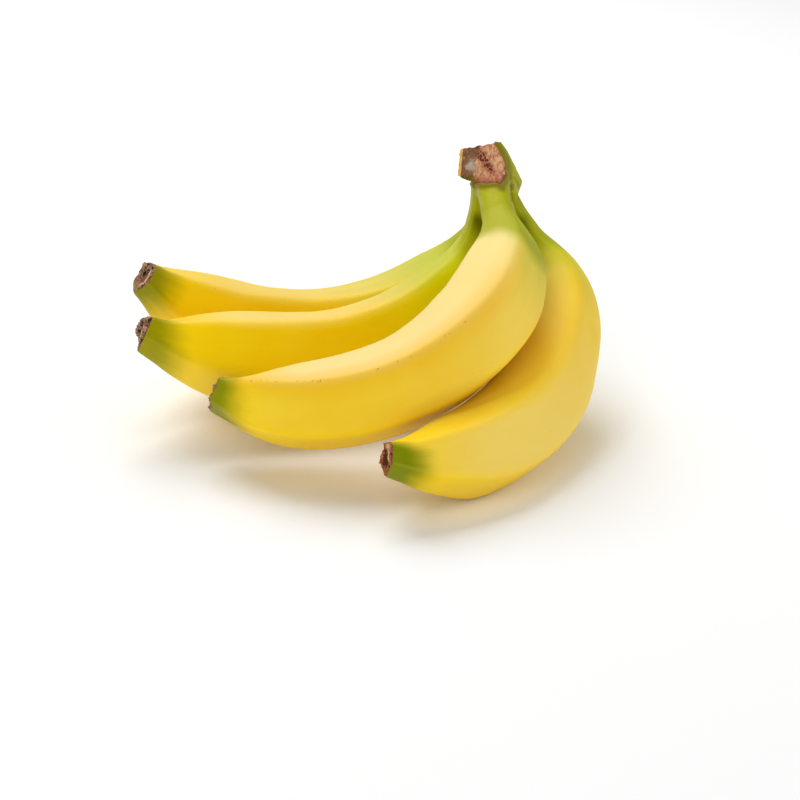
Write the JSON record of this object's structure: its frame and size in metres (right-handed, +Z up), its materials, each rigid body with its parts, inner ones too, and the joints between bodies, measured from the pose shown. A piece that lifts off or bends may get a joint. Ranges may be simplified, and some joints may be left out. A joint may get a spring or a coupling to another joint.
{
  "type": "bunch of bananas",
  "caption": "Ripe yellow bananas in a small bunch, joined at a cut green and brown crown, with curved five-sided fingers and dry dark blossom ends.",
  "frame": {"origin": "centre of the bounding box's footprint, at the ground the bunch lies on", "axes": "+Z up; -X the way the tips of the fingers point; -Y towards the front finger; +Y towards the back finger"},
  "size_m": [0.181, 0.1708, 0.1031],
  "materials": {
    "peel": "smooth waxy fruit skin, satin",
    "stalk": "green fibrous stalk with a dry brown cut face",
    "dry_blossom": "dry and rough"
  },
  "bodies": {
    "root": {"crown": "stalk", "banana_back": "peel", "banana_second": "peel", "banana_middle": "peel", "banana_front": "peel", "tip_back": "dry_blossom", "tip_second": "dry_blossom", "tip_middle": "dry_blossom", "tip_front": "dry_blossom"}
  },
  "joints": []
}
